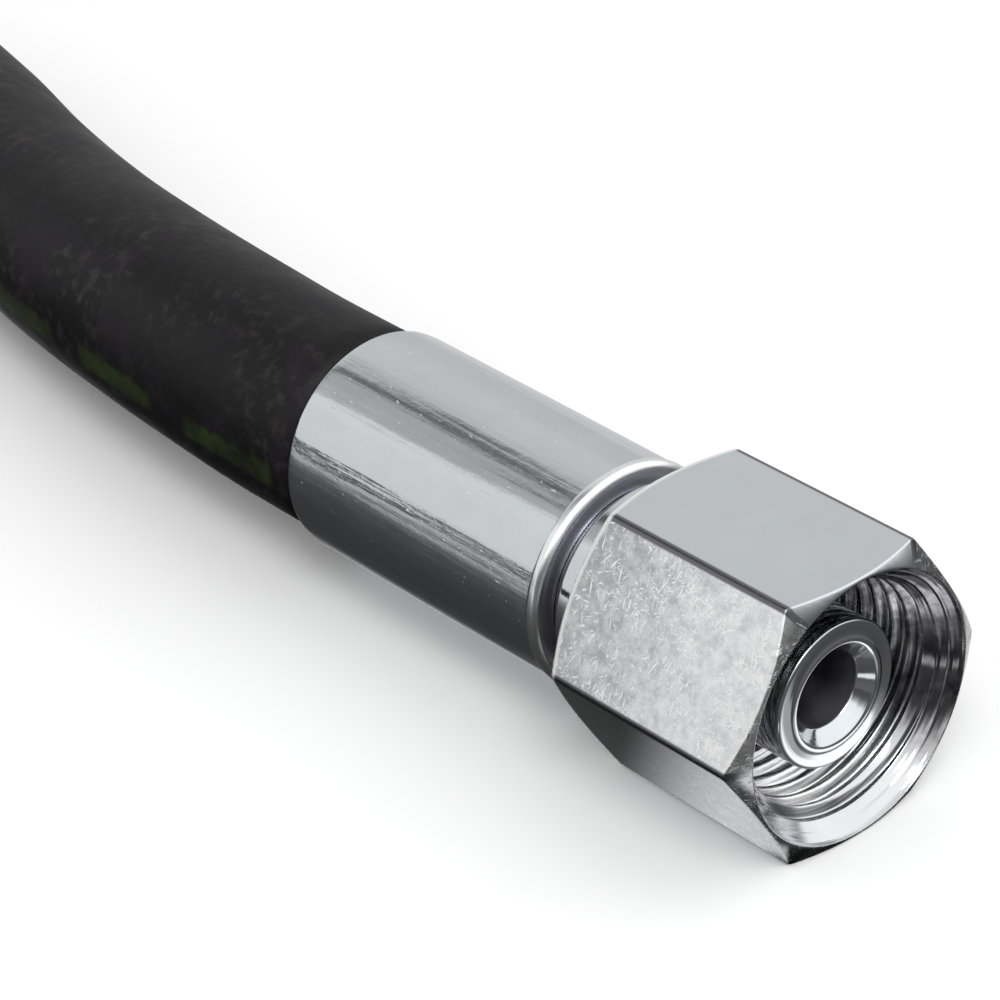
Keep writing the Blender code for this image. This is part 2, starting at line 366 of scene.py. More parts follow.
# %% Zinc plate
def zinc_plate(name, base, light, dull):
    """Bright zinc plate, cloudy in tone and dullness in patches of about 4 mm."""
    material, tree, shader = blank_material(name)
    shader.inputs["Metallic"].default_value = 1.0
    uv = node(tree, "ShaderNodeUVMap", {"uv_map": "along_around"}).outputs["UV"]
    place = node(tree, "ShaderNodeTexCoord").outputs["Object"]
    cloud = node(tree, "ShaderNodeTexNoise", Vector=place, Scale=260.0, Detail=3.0,
                 Roughness=0.5).outputs["Fac"]
    rough = node(tree, "ShaderNodeMapRange", i0=cloud, i1=0.3, i2=0.7, i3=dull * 0.8,
                 i4=dull * 1.25).outputs[0]
    tint = node(tree, "ShaderNodeMix", RGBA, i0=cloud, i6=colour(base), i7=colour(light)).outputs[2]
    return material, tree, shader, uv, tint, rough


# %% [markdown]
# Two kinds of mark come back on several pieces. Scratches could be cut into the mesh, but
# noise that is stretched along one direction and kept only near its peaks gives thousands of
# them for one node. Turning rings are noise stretched all the way round the piece.

# %% Scratches and turning rings
def dashes(tree, uv, turn_deg, length, width, seed, more, low, high):
    """Short scratches, length by width in millimetres. More of them show where more is 1."""
    placed = node(tree, "ShaderNodeMapping", {"vector_type": "TEXTURE"}, Vector=uv,
                  Location=(seed, -seed, 0), Rotation=(0, 0, math.radians(turn_deg)),
                  Scale=(length, width, 1))
    noise = node(tree, "ShaderNodeTexNoise", {"noise_dimensions": "2D"}, Vector=placed.outputs[0],
                 Scale=1.0, Detail=1.0, Roughness=0.4).outputs["Fac"]
    lifted = node(tree, "ShaderNodeMath", {"operation": "MULTIPLY_ADD"}, i0=more, i1=0.12,
                  i2=noise).outputs[0]
    return node(tree, "ShaderNodeMapRange", i0=lifted, i1=low + 0.12, i2=high + 0.12).outputs[0]


def lathe_rings(tree, uv, width, depth):
    """A bump of rings left by a turning tool, width in millimetres and depth in metres.

    A real tool leaves rings of 0.1 to 0.2 mm, and they are drawn wider here so that they show.
    """
    rings = node(tree, "ShaderNodeMapping", {"vector_type": "TEXTURE"}, Vector=uv,
                 Scale=(width, 90.0, 1)).outputs[0]
    lathe = node(tree, "ShaderNodeTexNoise", {"noise_dimensions": "2D"}, Vector=rings, Scale=1.0,
                 Detail=3.0, Roughness=0.6).outputs["Fac"]
    return node(tree, "ShaderNodeBump", Strength=1.0, Distance=depth, Height=lathe).outputs["Normal"]


# %% [markdown]
# The nut is hexagon bar. The flat that lay upwards kept a clean plate, and the one beside it
# was rubbed in handling until it turned whitish and full of fine scratches, and toward the mouth
# it is painted whiter still, a painted reflection. The wear is a ramp that runs once round the
# nut, so each flat gets its own share of it and the look stays on the nut when the nut turns.

# %% Where the hexagon is worn
HEX_GIRTH = 76.0
nut_plate, tree, shader, uv, tint, rough = zinc_plate(
    "steel_hexagon_bar_zinc_plated", "cdd2d5", "d6dbde", 0.13)
place = node(tree, "ShaderNodeTexCoord").outputs["Object"]
parts = node(tree, "ShaderNodeSeparateXYZ", Vector=uv)
round_nut = node(tree, "ShaderNodeMapRange", i0=parts.outputs["Y"], i1=0.0, i2=HEX_GIRTH).outputs[0]
wear_and_sheen = node(tree, "ShaderNodeValToRGB", i0=round_nut, stops=[
    (0.0, grey(0.0)), (0.158, grey(0.0)), (0.168, grey(1.0)), (0.325, grey(1.0)), (0.335, grey(0.25)),
    (0.98, grey(0.4)), (1.0, grey(0.0))]).outputs[0]
# partly painted reflection: the wear grows toward the mouth, which also paints the worn flat whiter there
toward_mouth = node(tree, "ShaderNodeMapRange", i0=parts.outputs["X"], i1=-19.0, i2=-5.0, i3=0.25,
                    i4=1.0).outputs[0]
wear_and_sheen = node(tree, "ShaderNodeMath", MULTIPLY, i0=wear_and_sheen, i1=toward_mouth).outputs[0]
print("one flat takes", round(HEX_GIRTH / 6, 1), "mm of the girth")

# %% Rubbed patches of about 1 mm, first greyer and then nearly white
rubbed = node(tree, "ShaderNodeMapRange", i0=wear_and_sheen, i1=0.0, i2=0.3).outputs[0]
patches = node(tree, "ShaderNodeTexNoise", Vector=place, Scale=900.0, Detail=5.0,
               Roughness=0.75).outputs["Fac"]
patches = node(tree, "ShaderNodeMath", {"operation": "MULTIPLY_ADD"}, i0=wear_and_sheen, i1=0.42,
               i2=patches).outputs[0]
haze = node(tree, "ShaderNodeMapRange", i0=patches, i1=0.56, i2=1.04).outputs[0]
haze = node(tree, "ShaderNodeMath", MULTIPLY, i0=haze, i1=rubbed).outputs[0]
tint = node(tree, "ShaderNodeMix", RGBA, i0=rubbed, i6=tint, i7=colour("a8acaf")).outputs[2]
tint = node(tree, "ShaderNodeMix", RGBA, i0=haze, i6=tint, i7=colour("f2f2f3")).outputs[2]

# %% [markdown]
# Real scratches on the flat are about 0.05 mm wide. They are drawn three times as wide so that
# they show, in four directions, and they gather in patches of about 3 mm as they do on a piece
# that was knocked about.

# %% Scratches on the hexagon: direction in degrees, length and width in millimetres, seed
SCRATCHES = ((78, 1.7, 0.17, 3.0), (112, 1.2, 0.18, 17.0), (20, 0.8, 0.16, 41.0), (150, 0.6, 0.20, 57.0))
gather = node(tree, "ShaderNodeTexNoise", Vector=place, Scale=380.0, Detail=3.0,
              Roughness=0.6).outputs["Fac"]
gather = node(tree, "ShaderNodeMapRange", i0=gather, i1=0.36, i2=0.62, i3=-0.5, i4=1.15).outputs[0]
gather = node(tree, "ShaderNodeMath", MULTIPLY, i0=gather, i1=wear_and_sheen).outputs[0]
marks = 0.0
for turn_deg, length, width, seed in SCRATCHES:
    one = dashes(tree, uv, turn_deg, length, width, seed, gather, 0.60, 0.68)
    marks = node(tree, "ShaderNodeMath", {"operation": "MAXIMUM"}, i0=marks, i1=one).outputs[0]
worn_at_all = node(tree, "ShaderNodeMapRange", i0=wear_and_sheen, i1=0.0, i2=0.2).outputs[0]
marks = node(tree, "ShaderNodeMath", MULTIPLY, i0=marks, i1=worn_at_all).outputs[0]
tint = node(tree, "ShaderNodeMix", RGBA, i0=marks, i6=tint, i7=colour("fdfdfd")).outputs[2]
print("scratches in", len(SCRATCHES), "directions")

# %% Corner bands and edges of the hexagon
# painted reflection: a dark band is painted on the bar's rounded corners for the dark line they reflect, and
# the back edge gets a painted highlight, near white and duller
band = node(tree, "ShaderNodeAttribute", {"attribute_name": "corner_band"}).outputs["Fac"]
tint = node(tree, "ShaderNodeMix", RGBA, i0=band, i6=tint, i7=colour("6f6f75")).outputs[2]
# painted highlight: the rows of the hexagon's back edge are painted near white
edge = node(tree, "ShaderNodeAttribute", {"attribute_name": "painted_back_highlight"}).outputs["Fac"]
tint = node(tree, "ShaderNodeMix", RGBA, i0=edge, i6=tint, i7=colour("fdfdfd")).outputs[2]
for mask, duller in ((edge, 0.35), (haze, 0.12), (marks, 0.16)):
    rough = node(tree, "ShaderNodeMath", {"operation": "MULTIPLY_ADD"}, i0=mask, i1=duller,
                 i2=rough).outputs[0]
nicks = node(tree, "ShaderNodeBump", {"invert": True}, Strength=0.5, Distance=0.00001,
             Height=marks).outputs["Normal"]
dress(tree, shader, tint, rough, nicks)
print("hexagon finish:", len(tree.nodes), "nodes")

# %% [markdown]
# The bore is bright near the mouth and painted darker with depth, as painted shade, and its
# top and far side are painted dark in patches, as painted shade too. The thread is cut after
# the countersink, by a tool that leaves it duller, and it is painted lighter, a painted highlight.

# %% Threaded bore, zinc plated, with painted shade inside
bore_plate, tree, shader, uv, tint, rough = zinc_plate(
    "steel_threaded_bore_zinc_plated", "cacacd", "d9dadc", 0.10)
place = node(tree, "ShaderNodeTexCoord").outputs["Object"]
parts = node(tree, "ShaderNodeSeparateXYZ", Vector=uv)
# painted shade: the bore is painted darker from 7 mm inside the mouth, fully dark beyond 12 mm
painted_depth_shade = node(tree, "ShaderNodeMapRange", i0=parts.outputs["X"], i1=-12.0, i2=-7.0).outputs[0]
tint = node(tree, "ShaderNodeMix", RGBA, i0=painted_depth_shade, i6=colour("59575d"), i7=tint).outputs[2]
round_bore = node(tree, "ShaderNodeMath", MULTIPLY, i0=parts.outputs["Y"], i1=1 / HEX_GIRTH).outputs[0]
# painted shade: the top and far side of the bore are painted dark, in patches
painted_upper_shade = node(tree, "ShaderNodeValToRGB", i0=round_bore, stops=[
    (0.0, grey(1.0)), (0.17, grey(1.0)), (0.30, grey(0.0)), (0.66, grey(0.0)), (0.72, grey(0.8)),
    (0.76, grey(1.0)), (1.0, grey(1.0))]).outputs[0]
# in patches of about 2 mm
patchy = node(tree, "ShaderNodeTexNoise", Vector=place, Scale=420.0, Detail=3.0,
              Roughness=0.6).outputs["Fac"]
patchy = node(tree, "ShaderNodeMapRange", i0=patchy, i1=0.32, i2=0.62, i3=1.0, i4=0.55).outputs[0]
painted_upper_shade = node(tree, "ShaderNodeMath", MULTIPLY, i0=painted_upper_shade, i1=patchy).outputs[0]
tint = node(tree, "ShaderNodeMix", RGBA, i0=painted_upper_shade, i6=tint, i7=colour("4f4d53")).outputs[2]
print("the bore darkens between 7 and 12 mm from the mouth")

# %% The thread in it
DULLER_THREAD = 0.10
in_thread = node(tree, "ShaderNodeMapRange", i0=parts.outputs["X"], i1=-3.0, i2=-2.5,
                 i3=DULLER_THREAD, i4=0.0).outputs[0]
rough = node(tree, "ShaderNodeMath", {"operation": "ADD"}, i0=rough, i1=in_thread).outputs[0]
# painted highlight: the thread is painted near white, except where the bore's top and far side are painted
# dark
painted_thread_highlight = node(tree, "ShaderNodeMath", MULTIPLY, i0=in_thread, i1=0.8 / DULLER_THREAD).outputs[0]
painted_thread_highlight = node(tree, "ShaderNodeMath", {"operation": "SUBTRACT"}, i0=painted_thread_highlight, i1=painted_upper_shade).outputs[0]
tint = node(tree, "ShaderNodeMix", RGBA, i0=painted_thread_highlight, i6=tint, i7=colour("f4f4f5")).outputs[2]
dress(tree, shader, tint, rough, lathe_rings(tree, uv, 0.5, 0.000028))
print("bore finish:", len(tree.nodes), "nodes")

# %% [markdown]
# The nipple is turned from round bar, so it only needs its rings. The drilled hole through it
# is out of reach of the plating and looks like bare dull steel, nearly black inside.

# %% Turned nipple, and the drilled hole in it
nipple_plate, tree, shader, uv, tint, rough = zinc_plate(
    "steel_turned_zinc_plated", "c9ced1", "d8dcdf", 0.09)
dress(tree, shader, tint, rough, lathe_rings(tree, uv, 0.55, 0.000012))

drilled_steel, tree, shader, uv, tint, rough = zinc_plate(
    "steel_drilled_hole_dull", "85838a", "99979e", 0.50)
dress(tree, shader, tint, rough, lathe_rings(tree, uv, 0.8, 0.00002))
print(nipple_plate.name, "and", drilled_steel.name)

# %% [markdown]
# The ferrule is drawn tube, pressed onto the hose in a ring of dies. Drawing leaves long faint
# waves along it, and they bend each reflection into streaks. A flat mirror tube would look
# like a chrome bar, so these waves are what makes it a pressed sleeve.

# %% Drawn ferrule: waves of about 2 by 40 mm and 0.6 by 12 mm
ferrule_plate, tree, shader, uv, tint, rough = zinc_plate(
    "steel_drawn_tube_zinc_plated", "cbd0d3", "d8dcdf", 0.15)
place = node(tree, "ShaderNodeTexCoord").outputs["Object"]
wide = node(tree, "ShaderNodeMapping", {"vector_type": "TEXTURE"}, Vector=uv,
            Scale=(40.0, 2.0, 1)).outputs[0]
wide = node(tree, "ShaderNodeTexNoise", {"noise_dimensions": "2D"}, Vector=wide, Scale=1.0,
            Detail=1.0).outputs["Fac"]
drawn = node(tree, "ShaderNodeBump", Strength=1.0, Distance=0.00010, Height=wide).outputs["Normal"]
strip = node(tree, "ShaderNodeMapping", {"vector_type": "TEXTURE"}, Vector=uv,
             Scale=(12.0, 0.6, 1)).outputs[0]
strip = node(tree, "ShaderNodeTexNoise", {"noise_dimensions": "2D"}, Vector=strip, Scale=1.0,
             Detail=3.0).outputs["Fac"]
drawn = node(tree, "ShaderNodeBump", Strength=0.4, Distance=0.00005, Height=strip,
             Normal=drawn).outputs["Normal"]
print("waves of the ferrule:", len(tree.nodes), "nodes")

# %% Lumps of about 1 mm in its plating, and nicks
lumps = node(tree, "ShaderNodeTexNoise", Vector=place, Scale=900.0, Detail=3.0,
             Roughness=0.6).outputs["Fac"]
drawn = node(tree, "ShaderNodeBump", Strength=0.5, Distance=0.00004, Height=lumps,
             Normal=drawn).outputs["Normal"]
marks = node(tree, "ShaderNodeMath", {"operation": "MAXIMUM"},
             i0=dashes(tree, uv, 8, 0.9, 0.32, 5.0, 0.0, 0.66, 0.76),
             i1=dashes(tree, uv, 95, 0.5, 0.26, 29.0, 0.0, 0.70, 0.78)).outputs[0]
tint = node(tree, "ShaderNodeMix", RGBA, i0=marks, i6=tint, i7=colour("fcfcfc")).outputs[2]
rough = node(tree, "ShaderNodeMath", {"operation": "MULTIPLY_ADD"}, i0=marks, i1=0.22,
             i2=rough).outputs[0]
nicks = node(tree, "ShaderNodeBump", {"invert": True}, Strength=0.5, Distance=0.00003, Height=marks,
             Normal=drawn).outputs["Normal"]
dress(tree, shader, tint, rough, nicks)
print("ferrule finish:", len(tree.nodes), "nodes")

# %% [markdown]
# The ferrule's rim was rolled over by a hard wheel, and it is painted near white, a painted
# highlight. The cut face inside the rim is dull and painted darker, as painted shade, so the two need
# finishes of their own.

# %% Rolled rim and cut end of the ferrule
# painted highlight: the rim is painted near white
rim_highlight_plate, tree, shader, uv, tint, rough = zinc_plate(
    "steel_rolled_rim_painted_highlight", "eaecee", "f6f7f8", 0.24)
dress(tree, shader, tint, rough, lathe_rings(tree, uv, 0.3, 0.000006))

# painted shade: the cut end is painted darker grey for the dark gap beside the nut that it reflects
end_face_shade_plate, tree, shader, uv, tint, rough = zinc_plate("steel_cut_end_painted_shade", "96949c", "a4a2aa", 0.42)
dress(tree, shader, tint, rough, lathe_rings(tree, uv, 0.3, 0.00001))
print(rim_highlight_plate.name, "and", end_face_shade_plate.name)

# %% [markdown]
# The nut is cut from hexagon bar. A lathe tool bevels its six corners at both ends, which
# leaves each flat with a curved edge, and it is bored, countersunk and threaded from the
# mouth. A Boolean of simple shapes would leave ragged edges, so the nut is worked out point by
# point: at every angle round it, an outline runs from the mouth over the flat to the back,
# with all its corners rounded, and out again through the thread.

# %% Nut measures, in millimetres back from the mouth
ACROSS_FLATS = 22.0
NUT_LONG = 20.0
CORNER_ROUND = 0.52
END_CIRCLE, END_BEVEL = 10.82, math.tan(math.radians(30))
BACK_CIRCLE, BACK_BEVEL = 10.4, math.tan(math.radians(30))
EDGE = 0.14
MOUTH, SINK_MOUTH, LIP_DEEP, SINK_END = 10.72, 10.60, 0.35, 2.6
SHELF, BACK_HOLE = 16.5, 7.4
print("the nut is", round(NUT_LONG / ACROSS_FLATS, 2), "times as long as it is wide")

# %% Line round the hexagon
ALONG_FLAT = (0, 0.16, 0.32, 0.48, 0.64, 0.78, 0.9, 0.975, 1)


def hexagon_line():
    """Points (y, z) round the hexagon, with the share of corner in each, from the top flat's start."""
    half_wide = ACROSS_FLATS / 2
    centre_out = half_wide - CORNER_ROUND
    reach = centre_out * math.tan(math.radians(30))
    line = []
    for side in range(6):
        turn_by = math.radians(60 * side)
        out = (-math.sin(turn_by), math.cos(turn_by))
        way = (-math.cos(turn_by), -math.sin(turn_by))
        for t in [-t for t in reversed(ALONG_FLAT[1:])] + list(ALONG_FLAT):
            y = out[0] * half_wide + way[0] * reach * t
            z = out[1] * half_wide + way[1] * reach * t
            line.append((y, z, 1.0 if abs(t) == 1 else 0.0))
        for step in (1, 2, 3, 4):
            a = math.radians(60 * side + 12 * step)
            y = out[0] * centre_out + way[0] * reach - math.sin(a) * CORNER_ROUND
            z = out[1] * centre_out + way[1] * reach + math.cos(a) * CORNER_ROUND
            line.append((y, z, 1.0))
    return line


print("points round the hexagon:", len(hexagon_line()))

# %% [markdown]
# No machined edge is perfectly sharp, and a sharp one in a model catches no light. So an
# outline is drawn with sharp corners first, and a helper swaps each corner for a short curve.

# %% Rounded corners of an outline
def round_off(outline, radii, steps=4):
    """Rounds each corner of an open (station, radius) outline, less where its sides are short."""
    made = [outline[0]]
    for i in range(1, len(outline) - 1):
        (x0, r0), (x1, r1), (x2, r2) = outline[i - 1], outline[i], outline[i + 1]
        before, after = math.hypot(x0 - x1, r0 - r1), math.hypot(x2 - x1, r2 - r1)
        if radii[i] <= 0:
            made.append((x1, r1))
            continue
        cut = min(radii[i], 0.45 * before, 0.45 * after)
        ax, ar = x1 + (x0 - x1) * cut / before, r1 + (r0 - r1) * cut / before
        bx, br = x1 + (x2 - x1) * cut / after, r1 + (r2 - r1) * cut / after
        for k in range(steps + 1):
            t = k / steps
            made.append((ax * (1 - t) ** 2 + 2 * x1 * t * (1 - t) + bx * t * t,
                         ar * (1 - t) ** 2 + 2 * r1 * t * (1 - t) + br * t * t))
    made.append(outline[-1])
    return made


def closed_round_off(outline, radii, steps=4):
    """round_off for an outline whose last point joins its first, which stays sharp."""
    return round_off(outline + [outline[0]], radii + [0], steps)[:-1]


# %% [markdown]
# The thread is a groove of 60 degrees that climbs one pitch in each turn. A Screw modifier
# could cut it, but would then have to be joined to the nut. Here one function gives the
# radius of the hole at any place, and so it holds the groove, the countersink and two low
# ridges that the tool left in the countersink.

# %% Radius of the threaded hole, in millimetres
THREAD_CREST, THREAD_ROOT, PITCH = 8.75, 9.53, 25.4 / 16
THREAD_START = -0.27
CREST_HALF, FLANK = 0.13, 0.49
TOOL_RIDGES, RIDGE_HALF, RIDGE_HIGH = (-0.86, -1.60), 0.13, 0.10


def thread_radius(station, angle_deg):
    """The hole's radius inside the nut: a right-handed 60 degree thread, opened by the countersink."""
    phase = ((station - THREAD_START) / PITCH - angle_deg / 360) % 1.0
    from_crest = min(phase, 1 - phase) * PITCH
    depth = THREAD_ROOT - THREAD_CREST
    groove = THREAD_CREST + depth * min(1.0, max(0.0, (from_crest - CREST_HALF) / FLANK))
    sink = THREAD_CREST + (SINK_MOUTH - THREAD_CREST) * (station + SINK_END) / (SINK_END - LIP_DEEP)
    # the ridges are highest on one side
    swell = 0.5 + 0.5 * math.cos(math.radians(angle_deg + 60))
    for ridge in TOOL_RIDGES:
        sink -= RIDGE_HIGH * swell * max(0.0, 1 - abs(station - ridge) / RIDGE_HALF)
    return max(groove, min(sink, SINK_MOUTH))


print("thread grooves are", round(THREAD_ROOT - THREAD_CREST, 2), "mm deep")

# %% Rows inside the nut, closest together where the thread shows
THREAD_END = -12.6


def bore_stations():
    """Distances from the mouth in millimetres, from the shelf inside to the lip."""
    stations = [-SHELF + 0.4 + 0.45 * k for k in range(8)]
    station = THREAD_END
    while station < -LIP_DEEP - 0.01:
        stations.append(station)
        station += 0.065 if station > -2.8 else 0.11 if station > -7 else 0.2
    return stations


print("rows inside the nut:", len(bore_stations()))

# %% Outline of the nut at one place round it
CORNER_STEPS = 4
OUTER_RADII = [0, 0.10, 0.12, 0.16, 0.26, 0.12, 0.15, 0.1, 0.05, 0]
# the lip and three rounded corners come before the flat
FLAT_ROW, FLAT_ROWS = 1 + 3 * (CORNER_STEPS + 1), 5


def nut_column(flat, angle, stations):
    """(station, radius) from the lip over the flat and the back, and out through the bore."""
    front = max(EDGE, (flat - END_CIRCLE) * END_BEVEL)
    back = max(EDGE, (flat - BACK_CIRCLE) * BACK_BEVEL)
    column = round_off([
        (-LIP_DEEP, SINK_MOUTH), (0, MOUTH), (0, min(END_CIRCLE, flat - EDGE)), (-front, flat),
        (-NUT_LONG + back, flat), (-NUT_LONG, min(BACK_CIRCLE, flat - EDGE)), (-NUT_LONG, BACK_HOLE),
        (-SHELF, BACK_HOLE), (-SHELF, THREAD_CREST + 0.1), (-SHELF + 0.35, THREAD_CREST + 0.1),
    ], OUTER_RADII, CORNER_STEPS)
    # extra points keep each flat flat in its shading
    column[FLAT_ROW:FLAT_ROW] = (
        [(-front - 0.5, flat)] + [(-NUT_LONG * t, flat) for t in (0.25, 0.5, 0.75)]
        + [(-NUT_LONG + back + 0.5, flat)])
    return column + [
        (s, thread_radius(s, angle) if s > THREAD_END else THREAD_CREST + 0.1) for s in stations]


print("rows along the nut:", len(nut_column(ACROSS_FLATS / 2, 0, bore_stations())))

# %% Nut mesh
LIP_ROWS = 3


def make_nut(name, mouth, outside, bore):
    line = hexagon_line()
    stations = bore_stations()
    columns = []
    walked = 0.0
    for k, (y, z, corner) in enumerate(line):
        flat = math.hypot(y, z)
        if k:
            walked += math.hypot(y - line[k - 1][0], z - line[k - 1][1])
        column = nut_column(flat, math.degrees(math.atan2(-y, z)), stations)
        columns.append((y / flat, z / flat, corner, walked, column))
    rows = len(columns[0][4])
    form = bmesh.new()
    # where the hexagon finish paints its dark corner band and its back edge highlight
    band_layer = form.verts.layers.float.new("corner_band")
    back_highlight_layer = form.verts.layers.float.new("painted_back_highlight")
    back_edge = range(FLAT_ROW + FLAT_ROWS, FLAT_ROW + FLAT_ROWS + CORNER_STEPS + 1)
    grid = []
    for i in range(rows):
        row = []
        for dy, dz, corner, _, column in columns:
            s, r = column[i]
            vert = form.verts.new(mouth + Vector((s, dy * r, dz * r)) / 1000)
            on_flat = -NUT_LONG + 0.5 < s < -0.3 and r > ACROSS_FLATS / 2 - 0.01
            vert[band_layer] = corner if on_flat else 0.0
            vert[back_highlight_layer] = 1.0 if i in back_edge else 0.0
            row.append(vert)
        grid.append(row)
    grid.append(grid[0])
    around = [c[3] for c in columns] + [walked + 0.2]
    inside = rows - len(stations)
    grid_faces(form, grid, lambda i, k: (columns[0][4][i % rows][0], around[k]),
               slot_of_row=lambda i: 1 if i >= inside or i < LIP_ROWS else 0)
    bmesh.ops.recalc_face_normals(form, faces=form.faces)
    return add_mesh(name, form, outside, bore)


# %% Two nuts, each on its own body
for tag, mouth in (("near", NEAR_MOUTH), ("far", FAR_MOUTH)):
    nut = make_nut(f"threaded_nut_{tag}", mouth, nut_plate, bore_plate)
    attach(nut, f"swivel_nut_{tag}")
    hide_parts(f"nut_{tag}")
print("nut skin:", len(nut.data.polygons), "faces")

# %% [markdown]
# The nipple and the ferrule are round pieces, so an outline spun round the axis gives their
# whole shape. What matters is in the outline: the small radius on the nose, the bevel of the
# bore that catches the light, and the rolled rim where the ferrule ends at the nut. The seam
# of the map runs along the underside.

# %% Turned pieces
TURNED_SIDES = 128


def make_turned(name, mouth, outline, materials, slot_of, sides=TURNED_SIDES):
    """A closed (station, radius) outline in millimetres, spun round the fitting's axis."""
    form = bmesh.new()
    grid = []
    for s, r in outline:
        row = []
        for k in range(sides):
            a = 2 * math.pi * k / sides + math.pi
            row.append(form.verts.new(mouth + Vector((s, -r * math.sin(a), r * math.cos(a))) / 1000))
        grid.append(row)
    grid.append(grid[0])
    walked = [0.0]
    for (s0, r0), (s1, r1) in zip(outline, outline[1:] + outline[:1]):
        walked.append(walked[-1] + math.hypot(s1 - s0, r1 - r0))
    girth = 2 * math.pi * max(r for _, r in outline)
    grid_faces(form, grid, lambda i, k: (walked[i], girth * k / sides),
               slot_of_row=lambda i: slot_of(outline[i], outline[(i + 1) % len(outline)]))
    bmesh.ops.recalc_face_normals(form, faces=form.faces)
    return add_mesh(name, form, *materials)


print("turned pieces have", TURNED_SIDES, "sides")

# %% [markdown]
# The nipple's nose seals against the mating piece: a bevel at the bore, a fine raised ring and
# a slightly hollow face. Behind it come the stem, the collar that holds the nut, a neck, a low
# shoulder in the gap before the ferrule, and the tail inside the hose.

# %% Nipple outline, in millimetres back from the mouth
COLLAR, NIPPLE_BORE, TAIL_END = 8.55, 3.05, -53.4
NOSE = [(-3.42, NIPPLE_BORE), (-2.36, 4.08), (-2.34, 4.40), (-2.43, 4.62), (-2.48, 5.20), (-2.44, 5.85)]
STEM = [(-7.0, 5.85), (-12.2, 5.95), (-12.3, COLLAR), (-16.3, COLLAR), (-16.3, 7.2), (-20.3, 7.2)]
SHOULDER = [(-20.3, 8.35), (-23.1, 8.35), (-23.7, 7.46), (-26.3, 7.46)]
TAIL = [(-26.3, 4.4), (TAIL_END, 4.4), (TAIL_END, NIPPLE_BORE)]
nipple_outline = closed_round_off(
    [(-12.0, NIPPLE_BORE)] + NOSE + STEM + SHOULDER + TAIL,
    [0, 0.10, 0.14, 0.14, 0.12, 0.30, 0.60, 0.0, 0.3, 0.3, 0.1, 0.1, 0.1, 0.1, 0.35, 0.1, 0.1, 0.1,
     0.05, 0.05],
    steps=6,
)


def nipple_slot(here, there):
    """1 inside the drilled hole, 0 outside it."""
    return 1 if max(here[1], there[1]) < NIPPLE_BORE + 0.02 else 0


print("nipple outline:", len(nipple_outline), "points")

# %% [markdown]
# The ferrule is a plain sleeve, rounded toward the hose. At the nut its rim stands 0.1 mm
# proud. That is little, but the round edge catches a bright line all the way round, and the
# rim's finish paints it brighter, a painted highlight.

# %% Ferrule outline, in millimetres back from the mouth
RIM_START, RIM_INNER = -25.12, 8.93
ferrule_outline = closed_round_off(
    [(TAIL_END, 8.05), (TAIL_END, 8.92), (-53.05, 9.30), (-52.4, 9.35), (-39.0, 9.32), (-25.15, 9.26),
     (-24.95, 9.37), (-24.5, 9.37), (-24.2, 9.08), (-24.05, 8.75), (-24.0, 7.5), (-26.0, 7.5),
     (-26.0, 8.0)],
    [0, 0.12, 0.2, 0.3, 0, 0.10, 0.2, 0.3, 0.25, 0.1, 0.1, 0.1, 0.1], steps=6,
)


def ferrule_slot(here, there):
    """1 on the end face beside the nut, 2 on the rolled rim, 0 on the sleeve."""
    if min(here[0], there[0]) < RIM_START:
        return 0
    return 2 if min(here[1], there[1]) > RIM_INNER else 1


print("ferrule outline:", len(ferrule_outline), "points")

# %% Nipples and ferrules
for tag, mouth in (("near", NEAR_MOUTH), ("far", FAR_MOUTH)):
    nipple = make_turned(
        f"turned_nipple_{tag}", mouth, nipple_outline, (nipple_plate, drilled_steel), nipple_slot)
    ferrule = make_turned(
        f"crimped_ferrule_{tag}", mouth, ferrule_outline, (ferrule_plate, end_face_shade_plate, rim_highlight_plate),
        ferrule_slot)
    for piece, old, slot_name in ((nipple, "nipple", "nipple_steel"), (ferrule, "ferrule", "ferrule_steel")):
        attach(piece, "hose_line")
        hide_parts(f"{old}_{tag}")
        print(piece.name, len(piece.data.polygons), "faces")

# %% [markdown]
# The hose's route as 36 points at even steps along it, the value of this cell.

[tuple(p) for p in smooth_route(hose_route, 36)[0]]

# %% [markdown]
# Bright plate shows whatever stands round it, so lighting it means choosing what it sees. The
# floor is plain, matt and pale, and the plate doesn't show it. A card lies just under it for
# the reflections alone, as a photographer would put one beside the piece, because chrome
# without something dark in it looks like paper.

# %% Floor
def flat_sheet(name, half_wide, height, material):
    mesh = bpy.data.meshes.new(name)
    corners = [(-half_wide, -half_wide), (half_wide, -half_wide), (half_wide, half_wide),
               (-half_wide, half_wide)]
    mesh.from_pydata([(x, y, height) for x, y in corners], [], [(0, 1, 2, 3)])
    mesh.materials.append(material)
    sheet = bpy.data.objects.new(name, mesh)
    bpy.context.scene.collection.objects.link(sheet)
    return sheet


floor_paint, tree, shader = blank_material("floor_matt_paint")
shader.inputs["Base Color"].default_value = colour("fcfcfc")
shader.inputs["Roughness"].default_value = 0.9
floor = flat_sheet("floor", 3, 0.0, floor_paint)
floor.visible_glossy = False
print("floor:", round(floor.dimensions.x, 1), "m wide")

# %% [markdown]
# How bright the card is depends only on the place on it. Across the fitting it runs from
# light paper over a dark strip beside the ferrule to light paper behind. The dark strip is painted
# shadow, the floor's shade beside the fitting as the plate reflects it. That gives the
# ferrule its dark lower side and a light line along its far edge.

